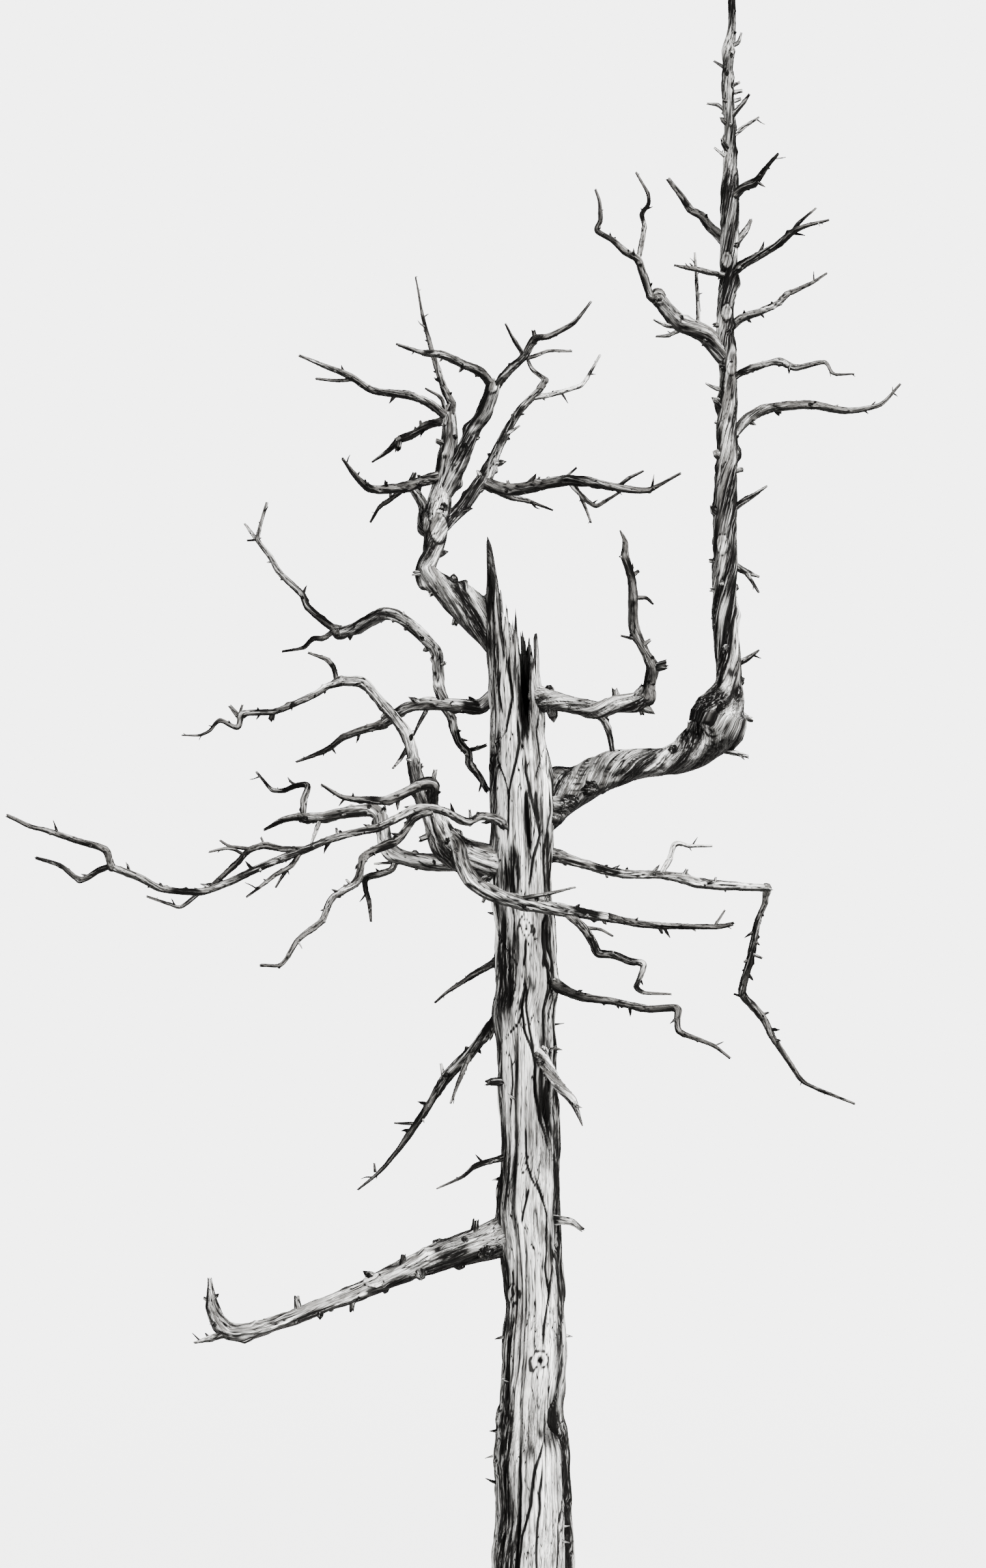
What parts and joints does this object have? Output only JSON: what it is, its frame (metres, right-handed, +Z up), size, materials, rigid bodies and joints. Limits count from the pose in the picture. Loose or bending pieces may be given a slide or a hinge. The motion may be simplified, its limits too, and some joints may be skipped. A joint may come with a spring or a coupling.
{
  "type": "dead tree",
  "caption": "Bare dead conifer with a splintered, hollow-topped trunk, crooked side boughs and an arm that turns up into a tall leader, standing on a flat cut at ground level.",
  "frame": {"origin": "centre of the flat cut under the trunk, at ground level", "axes": "+Z up along the trunk, +X towards the side with the tall leader, -Y towards the front side"},
  "size_m": [5.4007, 2.5817, 11.098],
  "materials": {
    "trunk_wood": "bare, weathered silver-grey wood with dark cracks",
    "bough_wood": "bare, weathered grey wood with twisted grain",
    "twig_wood": "dry, dull, dark grey twigs"
  },
  "bodies": {
    "root": {"trunk": "trunk_wood", "right_arm": "bough_wood", "right_leader": "bough_wood", "leader_left_bough": "bough_wood", "upper_right_bough": "bough_wood", "upper_left_bough": "bough_wood", "crown_left_bough": "bough_wood", "crown_middle_bough": "bough_wood", "crown_right_bough": "bough_wood", "left_upper_bough": "bough_wood", "left_loop_bough": "bough_wood", "arch_bough": "bough_wood", "knee_bough": "bough_wood", "long_bough": "bough_wood", "crossing_bough": "bough_wood", "right_bough": "bough_wood", "front_spike": "bough_wood", "lowest_left_bough": "bough_wood", "back_high_bough": "bough_wood", "back_low_bough": "bough_wood", "leader_twigs_top_right": "twig_wood", "leader_twigs_top_left": "twig_wood", "leader_twigs_high_right": "twig_wood", "leader_twigs_high_left": "twig_wood", "leader_twigs_mid_right": "twig_wood", "leader_twigs_low_right": "twig_wood", "leader_twigs_long_right": "twig_wood", "leader_left_twigs": "twig_wood", "upper_right_twigs": "twig_wood", "crown_left_top_twigs": "twig_wood", "crown_left_twigs": "twig_wood", "crown_left_low_twigs": "twig_wood", "crown_middle_left_twigs": "twig_wood", "crown_middle_right_twigs": "twig_wood", "crown_right_twigs": "twig_wood", "crown_side_twigs": "twig_wood", "left_reach_twigs": "twig_wood", "left_hook_twigs": "twig_wood", "left_upper_twigs": "twig_wood", "left_hanging_twigs": "twig_wood", "left_loop_twigs": "twig_wood", "arch_twigs": "twig_wood", "left_front_twigs": "twig_wood", "knee_twigs": "twig_wood", "knee_hanging_twigs": "twig_wood", "long_tip_twigs": "twig_wood", "long_middle_twigs": "twig_wood", "long_hanging_twigs": "twig_wood", "drooping_twigs": "twig_wood", "crossing_twigs": "twig_wood", "crossing_low_twigs": "twig_wood", "right_dropping_twigs": "twig_wood", "right_low_twigs": "twig_wood", "left_short_twigs": "twig_wood", "left_drooping_twigs": "twig_wood", "left_stub_twigs": "twig_wood", "back_high_twigs": "twig_wood", "back_low_twigs": "twig_wood"}
  },
  "joints": []
}
